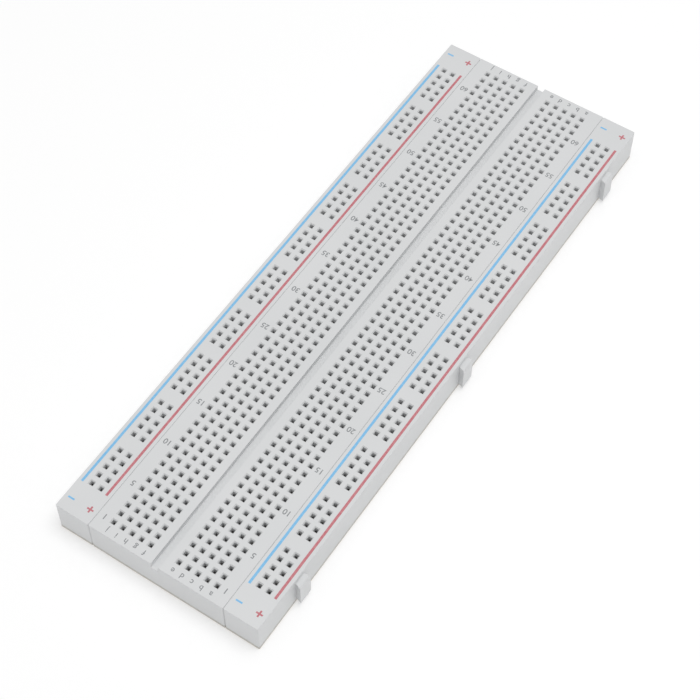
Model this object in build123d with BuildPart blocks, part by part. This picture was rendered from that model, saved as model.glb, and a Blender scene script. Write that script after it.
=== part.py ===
"""A full-size solderless breadboard: three strips that snap together, with their spring contacts.

Millimetres. +X runs along the board's length, from row 1 towards row 63. +Y runs across it, towards
the rear bus strip. +Z is up. The origin is the centre of the underside, below the middle of the
trench, on the face of the release liners that the board rests on.
"""
from build123d import *
import os

# Contact grid
PITCH = 2.54
ROW_COUNT = 63
COLUMN_COUNT = 5
BUS_GROUP_COUNT = 10
BUS_GROUP_SIZE = 5
BUS_GROUP_STEP = 6 * PITCH
FIRST_COLUMN_Y = 1.5 * PITCH

# Neighbouring rows that share a moulded block and a node of contacts
ROWS_PER_BLOCK = 3

# Strips
BOARD_LENGTH = 165.1
BOARD_WIDTH = 54.6
BODY_HEIGHT = 8.5
SEAM_Y = 18.2
SEAM_GAP = 0.04
EDGE_CHAMFER = 0.1
CORNER_RADIUS = 0.4
TRENCH_WIDTH = 2.1
TRENCH_DEPTH = 1.5

# Adhesive foam and its release liner, below each strip
FOAM_THICKNESS = 1.0
LINER_THICKNESS = 0.1

# Contact holes: a square hole below a square funnel
HOLE_SIZE = 1.0
MOUTH_SIZE = 1.45
FUNNEL_DEPTH = 0.3

# Pockets for the contacts, open at the underside
POCKET_WIDTH = 1.9
POCKET_DEPTH = 6.7
POCKET_END_ROOM = 1.3

# Spring contacts: a folded sheet whose leaves lean in and almost meet at the pinch
SHEET = 0.2
CONTACT_WIDTH = 1.5
CONTACT_HEIGHT = 6.1
SHOULDER_HEIGHT = 2.2
PINCH_HEIGHT = 5.2
PINCH_GAP = 0.04
LEAF_MOUTH = 0.8
LEAF_WIDTH = 1.94
LEAF_ROOT = 0.9
CONTACT_LIFT = 0.1

# Dovetails that join the strips
DOVETAIL_X = (-67.0, 0.0, 67.0)
TAB_NECK = 3.0
TAB_TIP = 4.0
TAB_REACH = 1.5
TAB_HEIGHT = 7.0
TAB_LEAD_IN = 0.3
DOVETAIL_PLAY = 0.1

# Sizes that follow from those above
BODY_BASE = LINER_THICKNESS + FOAM_THICKNESS
BODY_TOP = BODY_BASE + BODY_HEIGHT
CONTACT_BASE = BODY_BASE + CONTACT_LIFT
TERMINAL_WIDTH = 2 * SEAM_Y - SEAM_GAP
BUS_WIDTH = BOARD_WIDTH / 2 - SEAM_Y - SEAM_GAP / 2
BUS_CENTRE_Y = (BOARD_WIDTH - BUS_WIDTH) / 2
BANK_CENTRE_Y = FIRST_COLUMN_Y + (COLUMN_COUNT - 1) / 2 * PITCH
BLOCK_COUNT = ROW_COUNT // ROWS_PER_BLOCK
BLOCK_LENGTH = ROWS_PER_BLOCK * PITCH
TERMINAL_END_LENGTH = (BOARD_LENGTH - ROW_COUNT * PITCH) / 2


def centred(count, step):
    """Places for a row of things about zero, one step apart."""
    return [(index - (count - 1) / 2) * step for index in range(count)]


BANK_PLACES = centred(COLUMN_COUNT, PITCH)
BUS_PLACES = [
    group + hole
    for group in centred(BUS_GROUP_COUNT, BUS_GROUP_STEP)
    for hole in centred(BUS_GROUP_SIZE, PITCH)
]
BUS_ROWS_Y = {"positive": -PITCH / 2, "negative": PITCH / 2}


def pocket_length(places):
    """How long a pocket is that serves the holes at these places."""
    return places[-1] - places[0] + 2 * POCKET_END_ROOM


def dovetails(face_y, play):
    """The dovetails in plan: their necks on a strip's long face, their tips towards -Y."""
    with BuildSketch() as outline:
        for x in DOVETAIL_X:
            with BuildLine():
                Polyline(
                    (x - TAB_NECK / 2 - play, face_y),
                    (x - TAB_TIP / 2 - play, face_y - TAB_REACH - play),
                    (x + TAB_TIP / 2 + play, face_y - TAB_REACH - play),
                    (x + TAB_NECK / 2 + play, face_y),
                    close=True,
                )
            make_face()
    return outline.sketch


def strip_section(width, trench_width):
    """A strip's outline across the board, standing on the sketch's X axis."""
    with BuildSketch() as section:
        Rectangle(width, BODY_HEIGHT, align=(Align.CENTER, Align.MIN))
        chamfer(section.vertices().group_by(Axis.Y)[-1], length=EDGE_CHAMFER)
        if trench_width:
            with Locations((0, BODY_HEIGHT)):
                Rectangle(
                    trench_width, TRENCH_DEPTH,
                    align=(Align.CENTER, Align.MAX), mode=Mode.SUBTRACT,
                )
    return section.sketch


def plain_block(section, start_x, length):
    """A stretch of a strip that begins at start_x, before its pockets and holes are cut."""
    with BuildPart() as block:
        with BuildSketch(Plane.YZ.offset(start_x)):
            with Locations((0, BODY_BASE)):
                add(section)
        extrude(amount=length)
    return block.part


def round_corners(width):
    """Round the upright edges at the ends of a strip."""
    with BuildSketch(Plane.XY.offset(BODY_BASE)) as plan:
        RectangleRounded(BOARD_LENGTH, width, CORNER_RADIUS)
    extrude(plan.sketch, amount=BODY_HEIGHT, mode=Mode.INTERSECT)


def cut_pockets(centres, size_x, size_y):
    """Cut contact pockets up from the underside."""
    with BuildSketch(Plane.XY.offset(BODY_BASE)) as pockets:
        with Locations(*centres):
            Rectangle(size_x, size_y)
    extrude(pockets.sketch, amount=POCKET_DEPTH, mode=Mode.SUBTRACT)


def cut_contact_holes(centres):
    """Cut square holes from the top face down into the pockets, and a funnel around each."""
    margin = (MOUTH_SIZE - HOLE_SIZE) / 2
    with BuildSketch(Plane.XY.offset(BODY_TOP)) as holes:
        with Locations(*centres):
            Rectangle(HOLE_SIZE, HOLE_SIZE)
    extrude(holes.sketch, amount=POCKET_DEPTH - BODY_HEIGHT, mode=Mode.SUBTRACT)
    with Locations(*[(x, y, BODY_TOP) for x, y in centres]):
        Wedge(
            MOUTH_SIZE, FUNNEL_DEPTH, MOUTH_SIZE,
            margin, margin, margin + HOLE_SIZE, margin + HOLE_SIZE,
            rotation=(-90, 0, 0),
            align=(Align.CENTER, Align.MIN, Align.CENTER),
            mode=Mode.SUBTRACT,
        )


def joined_strip(blocks, width, centre_y):
    """A finished strip in its place: tabs on its -Y side, slots with a roof on its +Y side."""
    with BuildPart() as tabs:
        with BuildSketch(Plane.XY.offset(BODY_BASE)):
            add(dovetails(-width / 2, 0))
        extrude(amount=TAB_HEIGHT)
        chamfer(tabs.edges().group_by(Axis.Z)[-1].group_by(Axis.Y)[0], length=TAB_LEAD_IN)
    with BuildPart() as slots:
        with BuildSketch(Plane.XY.offset(BODY_BASE)):
            add(dovetails(width / 2, DOVETAIL_PLAY))
        extrude(amount=TAB_HEIGHT + DOVETAIL_PLAY)
    with BuildPart() as strip:
        with Locations((0, centre_y)):
            add(blocks, clean=False)
            add(tabs.part, clean=False)
            add(slots.part, clean=False, mode=Mode.SUBTRACT)
    return strip.part


def contact_section():
    """A contact's folded sheet in section, standing on the sketch's X axis."""
    with BuildSketch() as section:
        with BuildLine() as half:
            Polyline(
                (0, 0),
                (CONTACT_WIDTH / 2, 0),
                (CONTACT_WIDTH / 2, SHOULDER_HEIGHT),
                (PINCH_GAP / 2 + SHEET, PINCH_HEIGHT),
                (LEAF_MOUTH / 2 + SHEET, CONTACT_HEIGHT),
                (LEAF_MOUTH / 2, CONTACT_HEIGHT),
                (PINCH_GAP / 2, PINCH_HEIGHT),
                (CONTACT_WIDTH / 2 - SHEET, SHOULDER_HEIGHT),
                (CONTACT_WIDTH / 2 - SHEET, SHEET),
                (0, SHEET),
            )
            mirror(half.line, about=Plane.YZ)
        make_face()
    return section.sketch


def spring_contact(places):
    """A contact that runs along X, with a pair of leaves at each of these places."""
    with BuildPart() as contact:
        with BuildSketch(Plane.YZ.offset(places[0] - LEAF_WIDTH / 2)):
            add(contact_section())
        extrude(amount=places[-1] - places[0] + LEAF_WIDTH)
        with BuildSketch(Plane.XY.offset(LEAF_ROOT)):
            for left, right in zip(places, places[1:]):
                with Locations(((left + right) / 2, 0)):
                    Rectangle(right - left - LEAF_WIDTH, 2 * CONTACT_WIDTH)
        extrude(amount=CONTACT_HEIGHT, mode=Mode.SUBTRACT)
    return contact.part


def underlay(width, centre_y, base, thickness):
    """A layer below a strip, cut to the strip's underside with its dovetail slots."""
    with BuildPart() as layer:
        with BuildSketch(Plane.XY.offset(base)):
            with Locations((0, centre_y)):
                Rectangle(BOARD_LENGTH, width)
            add(dovetails(centre_y + width / 2, DOVETAIL_PLAY), mode=Mode.SUBTRACT)
        extrude(amount=thickness)
    return layer.part


def save(piece, name):
    """Label a finished piece and write it."""
    piece.label = name
    export_step(piece, f"parts/{name}.step", write_pcurves=False)


os.makedirs("parts", exist_ok=True)

# Terminal strip: equal blocks of a few rows each, with a solid block at either end
terminal_section = strip_section(TERMINAL_WIDTH, TRENCH_WIDTH)
with BuildPart() as row_block:
    add(plain_block(terminal_section, -BLOCK_LENGTH / 2, BLOCK_LENGTH))
    banks = [(x, y) for y in (-BANK_CENTRE_Y, BANK_CENTRE_Y) for x in centred(ROWS_PER_BLOCK, PITCH)]
    cut_pockets(banks, POCKET_WIDTH, pocket_length(BANK_PLACES))
    cut_contact_holes([(x, y + place) for x, y in banks for place in BANK_PLACES])
with BuildPart() as end_block:
    add(plain_block(terminal_section, BOARD_LENGTH / 2 - TERMINAL_END_LENGTH, TERMINAL_END_LENGTH))
    chamfer(end_block.faces().sort_by(Axis.X)[-1].edges().group_by(Axis.Z)[-1], length=EDGE_CHAMFER)
    round_corners(TERMINAL_WIDTH)
with BuildPart() as terminal_blocks:
    with Locations(*[(x, 0) for x in centred(BLOCK_COUNT, BLOCK_LENGTH)]):
        add(row_block.part, clean=False)
    add(end_block.part, clean=False)
    add(mirror(end_block.part, about=Plane.YZ, mode=Mode.PRIVATE), clean=False)
save(joined_strip(terminal_blocks.part, TERMINAL_WIDTH, 0), "terminal_strip_body")

# Terminal contacts: one joins the five holes of a row in one bank
terminal_contact = spring_contact(BANK_PLACES)
for bank, centre_y in (("front", -BANK_CENTRE_Y), ("rear", BANK_CENTRE_Y)):
    for block, block_x in enumerate(centred(BLOCK_COUNT, BLOCK_LENGTH)):
        with BuildPart() as contacts:
            rows_x = [block_x + x for x in centred(ROWS_PER_BLOCK, PITCH)]
            with Locations(*[(x, centre_y, CONTACT_BASE) for x in rows_x]):
                add(terminal_contact, rotation=(0, 0, 90))
        first = block * ROWS_PER_BLOCK + 1
        last = first + ROWS_PER_BLOCK - 1
        save(contacts.part, f"{bank}_contacts_rows_{first:02d}_{last:02d}")

# Bus strips: the same moulding on each long side, with one long contact below each row of holes
with BuildPart() as bus_block:
    add(plain_block(strip_section(BUS_WIDTH, 0), -BOARD_LENGTH / 2, BOARD_LENGTH))
    end_faces = bus_block.faces().filter_by(Axis.X)
    chamfer(end_faces.edges().group_by(Axis.Z)[-1], length=EDGE_CHAMFER)
    round_corners(BUS_WIDTH)
    cut_pockets([(0, y) for y in BUS_ROWS_Y.values()], pocket_length(BUS_PLACES), POCKET_WIDTH)
    cut_contact_holes([(x, y) for y in BUS_ROWS_Y.values() for x in BUS_PLACES])
bus_contact = spring_contact(BUS_PLACES)
for side, centre_y in (("front", -BUS_CENTRE_Y), ("rear", BUS_CENTRE_Y)):
    save(joined_strip(bus_block.part, BUS_WIDTH, centre_y), f"{side}_bus_strip_body")
    for sign, row_y in BUS_ROWS_Y.items():
        with BuildPart() as rail:
            with Locations((0, centre_y + row_y, CONTACT_BASE)):
                add(bus_contact)
        save(rail.part, f"{side}_bus_{sign}_contact")

# Foam and liner below each strip
for strip, width, centre_y in (
    ("front_bus", BUS_WIDTH, -BUS_CENTRE_Y),
    ("terminal", TERMINAL_WIDTH, 0),
    ("rear_bus", BUS_WIDTH, BUS_CENTRE_Y),
):
    save(underlay(width, centre_y, LINER_THICKNESS, FOAM_THICKNESS), f"{strip}_foam_pad")
    save(underlay(width, centre_y, 0, LINER_THICKNESS), f"{strip}_release_liner")
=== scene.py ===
"""Looks for the solderless breadboard: printed legend, adhesive foam, liners, materials and studio.

Metres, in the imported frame: +X from row 1 to row 63, +Y towards the rear bus strip, +Z up.
"""
import bmesh
import bpy
import math
from mathutils import Matrix, Quaternion, Vector, noise


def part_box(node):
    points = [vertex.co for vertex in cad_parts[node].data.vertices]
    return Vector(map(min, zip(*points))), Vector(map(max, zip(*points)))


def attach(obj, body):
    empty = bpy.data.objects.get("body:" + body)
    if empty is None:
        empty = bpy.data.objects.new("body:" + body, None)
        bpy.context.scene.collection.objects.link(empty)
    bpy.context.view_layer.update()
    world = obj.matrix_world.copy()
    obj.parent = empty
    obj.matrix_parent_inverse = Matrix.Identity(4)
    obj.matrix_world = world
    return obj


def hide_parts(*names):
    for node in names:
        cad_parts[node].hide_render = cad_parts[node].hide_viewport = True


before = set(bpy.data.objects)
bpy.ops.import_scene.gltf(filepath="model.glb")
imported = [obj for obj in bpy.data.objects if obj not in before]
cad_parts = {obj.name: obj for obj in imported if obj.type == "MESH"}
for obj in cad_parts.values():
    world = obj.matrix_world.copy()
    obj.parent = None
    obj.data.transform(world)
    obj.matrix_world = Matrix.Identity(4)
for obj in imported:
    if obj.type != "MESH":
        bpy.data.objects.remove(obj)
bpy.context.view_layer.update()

MM = 0.001
PITCH = 2.54 * MM
ROW_COUNT = 63
BANK_LETTERS = ("abcde", "fghij")
FIRST_COLUMN_Y = 1.5 * PITCH
STRIPS = ("front_bus", "terminal", "rear_bus")
WELD = 0.0005 * MM
WANDER_SIZE = 1.3 * MM

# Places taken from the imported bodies
TOP_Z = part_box("terminal_strip_body")[1].z
BUS_CENTRE_Y = {}
for side in ("front", "rear"):
    lows, highs = zip(*[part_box(f"{side}_bus_{sign}_contact") for sign in ("positive", "negative")])
    BUS_CENTRE_Y[side] = (min(low.y for low in lows) + max(high.y for high in highs)) / 2

# Printed legend
INK_THICKNESS = 0.02 * MM
INK_SINK = 0.006 * MM
LINE_WIDTH = 0.62 * MM
LINE_OFFSET = 3.4 * MM
LINE_END_X = 74.5 * MM
LINE_STEP = 0.6 * MM
INK_CREEP = 0.018 * MM
LINE_SEED = 3.0
FAR_EDGE_SEED = 5.5
MARK_X = 79.2 * MM
MARK_OFFSET = 2.65 * MM
MARK_SIZE = 1.7 * MM
MARK_STROKE = 0.42 * MM
LETTER_SIZE = 1.9 * MM
LETTER_X = 81.1 * MM
NUMBER_SIZE = 2.0 * MM
NUMBER_Y = 16.35 * MM
NUMBER_STEP = 5
GLYPH_SWELL = 0.012

# Foam and liners: die-cut corners, and how their cut edges wander
LAYER_WELD = 0.001 * MM
LAYER_CORNER = 0.3 * MM
CORNER_SEGMENTS = 3
FLAT_ANGLE = math.radians(1)
STEEPEST_TOP = 0.5
CUT_TOLERANCE = 1e-8
FRAY_MEAN = 0.6
FRAY_SWING = 0.4
FOAM_STEP = 1.1 * MM
FOAM_LEVELS = (0.25, 0.5, 0.75, 1.0)
FOAM_WAIST = 0.07 * MM
FOAM_FRAY = 0.03 * MM
FOAM_SEED = 10.0
LINER_STEP = 2.6 * MM
LINER_FRAY = 0.06 * MM
LINER_SEED = 20.0

# Camera: it stands beyond the board's row 1 end, on the front side
VIEW_AZIMUTH = -56.2
VIEW_ELEVATION = 56.16
VIEW_ROLL = -0.17
VIEW_DISTANCE = 426.1 * MM
VIEW_TARGET = Vector((-12.46 * MM, -4.04 * MM, TOP_Z))
LENS = 94.2
SENSOR = 36.0

# Lights and floor
DOME_HORIZON = 0.75
DOME_BAND = 0.25
DOME_BAND_HEIGHT = 0.1
DOME_ZENITH = 0.86
SOFT_BOX_SIZE = 0.5
SOFT_BOX_ENERGY = 2.55
SOFT_BOX_PLACE = (0.03, -0.16, 0.85)
FLOOR_HALF = 4.0
FLOOR_DROP = 0.05 * MM
FLOOR_BASE = 0.68
FLOOR_GLOW = 0.36


# ---------------------------------------------------------------- materials

class Shader:
    """A node material that is built up by small steps."""

    def __init__(self, name, roughness, metallic=0.0):
        self.material = bpy.data.materials.new(name)
        self.material.use_nodes = True
        self.nodes = self.material.node_tree.nodes
        self.links = self.material.node_tree.links
        self.surface = self.nodes["Principled BSDF"]
        self.surface.inputs["Roughness"].default_value = roughness
        self.surface.inputs["Metallic"].default_value = metallic
        self.place = self.nodes.new("ShaderNodeTexCoord").outputs["Object"]

    def stretched(self, scale):
        """The object's own place, scaled along each axis, for grain with a direction."""
        mapping = self.nodes.new("ShaderNodeMapping")
        mapping.inputs["Scale"].default_value = scale
        self.links.new(self.place, mapping.inputs["Vector"])
        return mapping.outputs["Vector"]

    def noise(self, size, detail=3.0, roughness=0.55, place=None):
        """Noise whose features are about size metres across."""
        node = self.nodes.new("ShaderNodeTexNoise")
        node.inputs["Scale"].default_value = 1 / size
        node.inputs["Detail"].default_value = detail
        node.inputs["Roughness"].default_value = roughness
        self.links.new(place or self.place, node.inputs["Vector"])
        return node.outputs["Fac"]

    def cells(self, size):
        """Rounded cells about size metres across."""
        node = self.nodes.new("ShaderNodeTexVoronoi")
        node.inputs["Scale"].default_value = 1 / size
        self.links.new(self.place, node.inputs["Vector"])
        return node.outputs["Distance"]

    def ramp(self, value, low, high, low_at=0.3, high_at=0.7):
        """A colour, or a grey, that follows a value between two ends."""
        node = self.nodes.new("ShaderNodeValToRGB")
        node.color_ramp.elements[0].position = low_at
        node.color_ramp.elements[1].position = high_at
        node.color_ramp.elements[0].color = (*low, 1)
        node.color_ramp.elements[1].color = (*high, 1)
        self.links.new(value, node.inputs["Fac"])
        return node.outputs["Color"]

    def colour(self, value, low, high, **ends):
        self.links.new(self.ramp(value, low, high, **ends), self.surface.inputs["Base Color"])

    def rough(self, value, low, high):
        grey = self.ramp(value, (low,) * 3, (high,) * 3)
        self.links.new(grey, self.surface.inputs["Roughness"])

    def bump(self, *layers):
        """Relief from (height value, depth in metres) layers, one on the other."""
        normal = None
        for height, depth in layers:
            node = self.nodes.new("ShaderNodeBump")
            node.inputs["Distance"].default_value = depth
            self.links.new(height, node.inputs["Height"])
            if normal is not None:
                self.links.new(normal, node.inputs["Normal"])
            normal = node.outputs["Normal"]
        self.links.new(normal, self.surface.inputs["Normal"])


def abs_plastic():
    """White ABS from a finely sparked mould, a little cloudy where the melt has flowed."""
    shader = Shader("white_abs", 0.42)
    shader.colour(shader.noise(22 * MM, 2.0), (0.688, 0.698, 0.704), (0.715, 0.722, 0.728))
    shader.rough(shader.noise(1.6 * MM), 0.38, 0.47)
    shader.bump(
        (shader.noise(0.16 * MM, 2.0), 0.006 * MM),
        (shader.noise(9 * MM, 1.0), 0.02 * MM),
    )
    shader.surface.inputs["IOR"].default_value = 1.53
    return shader.material


def spring_metal():
    """Nickel plate on rolled strip: streaks run along the sheet."""
    shader = Shader("nickel_plate", 0.3, metallic=1.0)
    streaks = shader.noise(0.05 * MM, 3.0, place=shader.stretched((0.12, 0.12, 1.0)))
    shader.colour(shader.noise(1.2 * MM), (0.60, 0.57, 0.51), (0.72, 0.69, 0.64))
    shader.rough(streaks, 0.22, 0.4)
    shader.bump((streaks, 0.003 * MM))
    return shader.material


def foam():
    """White closed-cell foam: cut cells show as small pits, each darkened in colour by painted shade."""
    shader = Shader("adhesive_foam", 0.9)
    cells = shader.cells(0.17 * MM)
    # Painted shade: the colour is darkest at the bottom of each cell pit, where the bump sinks deepest.
    shader.colour(cells, (0.38, 0.37, 0.345), (0.62, 0.61, 0.585), low_at=0.05, high_at=0.45)
    shader.bump((cells, 0.05 * MM), (shader.noise(0.7 * MM), 0.04 * MM))
    shader.surface.inputs["Sheen Weight"].default_value = 0.2
    return shader.material


def liner_paper():
    """Waxed kraft release paper: fibres under a thin silicone coat."""
    shader = Shader("release_paper", 0.5)
    fibres = shader.noise(0.12 * MM, 4.0, place=shader.stretched((0.25, 1.0, 1.0)))
    shader.colour(fibres, (0.58, 0.47, 0.27), (0.70, 0.59, 0.37))
    shader.rough(shader.noise(2.5 * MM), 0.42, 0.6)
    shader.bump((fibres, 0.01 * MM), (shader.noise(14 * MM, 1.0), 0.05 * MM))
    shader.surface.inputs["Coat Weight"].default_value = 0.25
    shader.surface.inputs["Coat Roughness"].default_value = 0.35
    return shader.material


def ink(name, thin, full):
    """Pad-printed ink, thinner where the pad lifted."""
    shader = Shader(name, 0.5)
    shader.colour(shader.noise(0.5 * MM), thin, full, low_at=0.25, high_at=0.6)
    shader.rough(shader.noise(0.3 * MM), 0.42, 0.6)
    shader.bump((shader.noise(0.09 * MM, 2.0), 0.004 * MM))
    return shader.material


INKS = {
    "red": ink("red_ink", (0.62, 0.26, 0.28), (0.55, 0.16, 0.19)),
    "blue": ink("blue_ink", (0.28, 0.58, 0.84), (0.20, 0.51, 0.82)),
    "grey": ink("grey_ink", (0.36, 0.37, 0.38), (0.26, 0.27, 0.28)),
}


# ---------------------------------------------------------------- mesh helpers

def new_piece(name, mesh_builder, material, body):
    """A finished piece that rides on a body, welded and with its faces turned outwards."""
    bmesh.ops.remove_doubles(mesh_builder, verts=mesh_builder.verts, dist=WELD)
    bmesh.ops.recalc_face_normals(mesh_builder, faces=mesh_builder.faces)
    mesh = bpy.data.meshes.new(name)
    mesh_builder.to_mesh(mesh)
    mesh_builder.free()
    mesh.materials.append(material)
    piece = bpy.data.objects.new(name, mesh)
    bpy.context.scene.collection.objects.link(piece)
    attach(piece, body)
    return piece


def wander(x, y, seed):
    """A smooth value between about -1 and 1 that wanders from place to place."""
    return noise.noise(Vector((x / WANDER_SIZE, y / WANDER_SIZE, seed)))


def add_slab(builder, outline, low, high):
    """A closed slab between two heights over an anticlockwise outline."""
    under = [builder.verts.new((x, y, low)) for x, y in outline]
    over = [builder.verts.new((x, y, high)) for x, y in outline]
    builder.faces.new(over)
    builder.faces.new(reversed(under))
    count = len(outline)
    for i in range(count):
        j = (i + 1) % count
        builder.faces.new((under[i], under[j], over[j], over[i]))


# ---------------------------------------------------------------- printed legend

def add_line(builder, y, seed):
    """A printed line along the strip, with edges that creep a little."""
    steps = round(2 * LINE_END_X / LINE_STEP)
    places = [-LINE_END_X + 2 * LINE_END_X * i / steps for i in range(steps + 1)]
    rows = []
    for x in places:
        low = y - LINE_WIDTH / 2 + INK_CREEP * wander(x, y, seed)
        high = y + LINE_WIDTH / 2 + INK_CREEP * wander(x, y, seed + FAR_EDGE_SEED)
        rows.append([
            builder.verts.new(co)
            for co in (
                (x, low, TOP_Z - INK_SINK),
                (x, high, TOP_Z - INK_SINK),
                (x, high, TOP_Z + INK_THICKNESS),
                (x, low, TOP_Z + INK_THICKNESS),
            )
        ])
    for a, b in zip(rows, rows[1:]):
        for i in range(4):
            j = (i + 1) % 4
            builder.faces.new((a[i], a[j], b[j], b[i]))
    builder.faces.new(rows[0])
    builder.faces.new(reversed(rows[-1]))


def bar_outline(x, y):
    """A minus mark, across the strip."""
    half, stroke = MARK_SIZE / 2, MARK_STROKE / 2
    return [
        (x - stroke, y - half),
        (x + stroke, y - half),
        (x + stroke, y + half),
        (x - stroke, y + half),
    ]


def cross_outline(x, y):
    """A plus mark."""
    half, stroke = MARK_SIZE / 2, MARK_STROKE / 2
    corner = [(stroke, half), (stroke, stroke), (half, stroke)]
    outline = []
    for turn in range(4):
        spin = Matrix.Rotation(-turn * math.pi / 2, 2)
        outline += [spin @ Vector(point) for point in corner]
    return [(x + point.x, y + point.y) for point in reversed(outline)]


def add_text(builder, words, size, x, y):
    """Printed words centred at a place, upright for a reader who has row 1 at the top."""
    curve = bpy.data.curves.new("glyphs", "FONT")
    curve.body = words
    curve.size = size
    curve.align_x = "CENTER"
    curve.align_y = "CENTER"
    curve.extrude = (INK_THICKNESS + INK_SINK) / 2
    curve.offset = size * GLYPH_SWELL
    carrier = bpy.data.objects.new("glyphs", curve)
    mesh = bpy.data.meshes.new_from_object(carrier)
    middle_z = TOP_Z + (INK_THICKNESS - INK_SINK) / 2
    mesh.transform(Matrix.Translation((x, y, middle_z)) @ Matrix.Rotation(math.pi / 2, 4, "Z"))
    builder.from_mesh(mesh)
    bpy.data.objects.remove(carrier)
    bpy.data.curves.remove(curve)
    bpy.data.meshes.remove(mesh)


def print_bus_strip(side):
    """The red and blue lines of a bus strip, and the marks at their ends."""
    centre_y = BUS_CENTRE_Y[side]
    for colour, towards, outline in (("red", -1, cross_outline), ("blue", 1, bar_outline)):
        builder = bmesh.new()
        add_line(builder, centre_y + towards * LINE_OFFSET, LINE_SEED + towards)
        for end in (-1, 1):
            mark = outline(end * MARK_X, centre_y + towards * MARK_OFFSET)
            add_slab(builder, mark, TOP_Z - INK_SINK, TOP_Z + INK_THICKNESS)
        name = f"{side}_bus_{colour}_print"
        new_piece(name, builder, INKS[colour], f"{side}_bus_strip")


def print_terminal_strip():
    """Column letters at both ends, and row numbers along both sides."""
    letters = bmesh.new()
    for end in (-1, 1):
        for side, bank in zip((-1, 1), BANK_LETTERS):
            for column, letter in enumerate(bank):
                step = column if side > 0 else len(bank) - 1 - column
                y = side * (FIRST_COLUMN_Y + step * PITCH)
                add_text(letters, letter, LETTER_SIZE, end * LETTER_X, y)
    new_piece("column_letters", letters, INKS["grey"], "terminal_strip")
    numbers = bmesh.new()
    for row in (1, *range(NUMBER_STEP, ROW_COUNT, NUMBER_STEP)):
        x = (row - (ROW_COUNT + 1) / 2) * PITCH
        for side in (-1, 1):
            add_text(numbers, str(row), NUMBER_SIZE, x, side * NUMBER_Y)
    new_piece("row_numbers", numbers, INKS["grey"], "terminal_strip")


# ---------------------------------------------------------------- foam and liners

def cut_layer(node, step, levels, waist, fray, seed):
    """A die-cut layer made from a CAD layer: rounded corners, and edges drawn in by waist and fray."""
    builder = bmesh.new()
    builder.from_mesh(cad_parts[node].data)
    bmesh.ops.remove_doubles(builder, verts=builder.verts, dist=LAYER_WELD)
    bmesh.ops.dissolve_limit(
        builder, angle_limit=FLAT_ANGLE, verts=builder.verts, edges=builder.edges
    )
    upright = [
        edge for edge in builder.edges
        if abs(edge.verts[0].co.z - edge.verts[1].co.z) > levels[-1] / 2
    ]
    bmesh.ops.bevel(
        builder, geom=upright, offset=LAYER_CORNER, segments=CORNER_SEGMENTS, affect="EDGES", profile=0.5
    )
    low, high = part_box(node)
    cuts = [(Vector((0, 0, low.z + level)), Vector((0, 0, 1))) for level in levels[:-1]]
    cuts += [
        (Vector((low.x + step * i, 0, 0)), Vector((1, 0, 0)))
        for i in range(1, int((high.x - low.x) / step))
    ]
    cuts += [
        (Vector((0, low.y + step * i, 0)), Vector((0, 1, 0)))
        for i in range(1, int((high.y - low.y) / step))
    ]
    for point, normal in cuts:
        everything = [*builder.verts, *builder.edges, *builder.faces]
        bmesh.ops.bisect_plane(
            builder, geom=everything, plane_co=point, plane_no=normal, dist=CUT_TOLERANCE
        )
    builder.normal_update()
    thickness = high.z - low.z
    moves = []
    for vert in builder.verts:
        sides = [face.normal for face in vert.link_faces if abs(face.normal.z) < STEEPEST_TOP]
        if sides:
            outward = sum(sides, Vector()).normalized()
            height = (vert.co.z - low.z) / thickness
            waviness = FRAY_MEAN + FRAY_SWING * wander(vert.co.x, vert.co.y, seed + height)
            depth = waist * math.sin(math.pi * height) + fray * waviness
            moves.append((vert, -outward * depth))
    for vert, move in moves:
        vert.co += move
    return builder


def lay_underlays(foam_material, paper):
    """Foam pads and release liners in place of their plain CAD layers."""
    for index, strip in enumerate(STRIPS):
        body = f"{strip}_strip"
        node = f"{strip}_foam_pad"
        low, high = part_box(node)
        levels = [(high.z - low.z) * part for part in FOAM_LEVELS]
        builder = cut_layer(node, FOAM_STEP, levels, FOAM_WAIST, FOAM_FRAY, FOAM_SEED + index)
        pad = new_piece(f"{strip}_foam", builder, foam_material, body)
        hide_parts(node)
        node = f"{strip}_release_liner"
        low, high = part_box(node)
        builder = cut_layer(node, LINER_STEP, [high.z - low.z], 0.0, LINER_FRAY, LINER_SEED + index)
        liner = new_piece(f"{strip}_liner", builder, paper, body)
        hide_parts(node)


# ---------------------------------------------------------------- CAD nodes

def finish_cad_nodes(plastic, metal):
    """Real materials on the mouldings and the contacts."""
    for name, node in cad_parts.items():
        node.data.materials.clear()
        node.data.materials.append(metal if "contact" in name else plastic)
        for polygon in node.data.polygons:
            polygon.use_smooth = False


# ---------------------------------------------------------------- studio

def make_camera():
    """The camera, aimed down at the board from beyond its row 1 end."""
    azimuth, elevation = math.radians(VIEW_AZIMUTH), math.radians(VIEW_ELEVATION)
    back = Vector((
        math.sin(azimuth) * math.cos(elevation),
        -math.cos(azimuth) * math.cos(elevation),
        math.sin(elevation),
    ))
    data = bpy.data.cameras.new("camera")
    data.lens = LENS
    data.sensor_width = SENSOR
    camera = bpy.data.objects.new("camera", data)
    camera.rotation_mode = "QUATERNION"
    camera.location = VIEW_TARGET + back * VIEW_DISTANCE
    roll = Quaternion((0, 0, 1), math.radians(VIEW_ROLL))
    camera.rotation_quaternion = (-back).to_track_quat("-Z", "Y") @ roll
    bpy.context.scene.collection.objects.link(camera)
    bpy.context.scene.camera = camera


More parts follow.
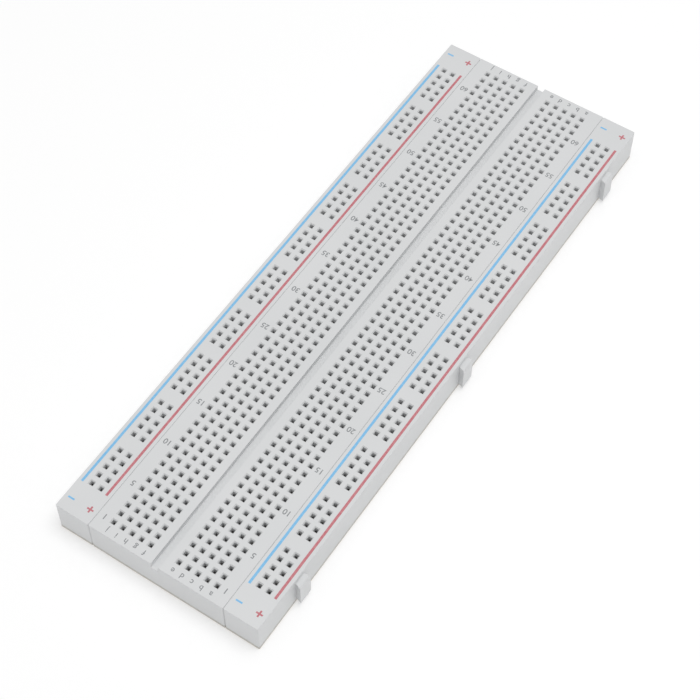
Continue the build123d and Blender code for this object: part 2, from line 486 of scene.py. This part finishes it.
def make_floor():
    """A plain pale floor."""
    builder = bmesh.new()
    bmesh.ops.create_grid(builder, x_segments=1, y_segments=1, size=FLOOR_HALF)
    mesh = bpy.data.meshes.new("floor")
    builder.to_mesh(mesh)
    builder.free()
    shader = Shader("floor_white", 0.8)
    shader.surface.inputs["Base Color"].default_value = (*(FLOOR_BASE,) * 3, 1)
    shader.surface.inputs["Specular IOR Level"].default_value = 0.0
    shader.surface.inputs["Emission Color"].default_value = (1, 1, 1, 1)
    shader.surface.inputs["Emission Strength"].default_value = FLOOR_GLOW
    mesh.materials.append(shader.material)
    floor = bpy.data.objects.new("floor", mesh)
    floor.location.z = -FLOOR_DROP
    bpy.context.scene.collection.objects.link(floor)


def make_lights():
    """A dome that is darkest just above the horizon and brightest overhead, and a large soft box."""
    world = bpy.data.worlds.new("studio")
    world.use_nodes = True
    nodes, links = world.node_tree.nodes, world.node_tree.links
    heights = nodes.new("ShaderNodeSeparateXYZ")
    dome = nodes.new("ShaderNodeValToRGB")
    dome.color_ramp.elements.new(DOME_BAND_HEIGHT)
    for stop, level in zip(dome.color_ramp.elements, (DOME_HORIZON, DOME_BAND, DOME_ZENITH)):
        stop.color = (level, level, level, 1)
    links.new(nodes.new("ShaderNodeTexCoord").outputs["Generated"], heights.inputs[0])
    links.new(heights.outputs["Z"], dome.inputs["Fac"])
    links.new(dome.outputs["Color"], nodes["Background"].inputs["Color"])
    bpy.context.scene.world = world
    data = bpy.data.lights.new("soft_box", "AREA")
    data.shape = "DISK"
    data.size = SOFT_BOX_SIZE
    data.energy = SOFT_BOX_ENERGY
    light = bpy.data.objects.new("soft_box", data)
    light.location = SOFT_BOX_PLACE
    light.rotation_mode = "QUATERNION"
    light.rotation_quaternion = (-light.location).to_track_quat("-Z", "Y")
    bpy.context.scene.collection.objects.link(light)


bpy.context.scene.view_settings.view_transform = "Standard"
make_camera()
finish_cad_nodes(abs_plastic(), spring_metal())
print_bus_strip("front")
print_bus_strip("rear")
print_terminal_strip()
lay_underlays(foam(), liner_paper())
make_floor()
make_lights()
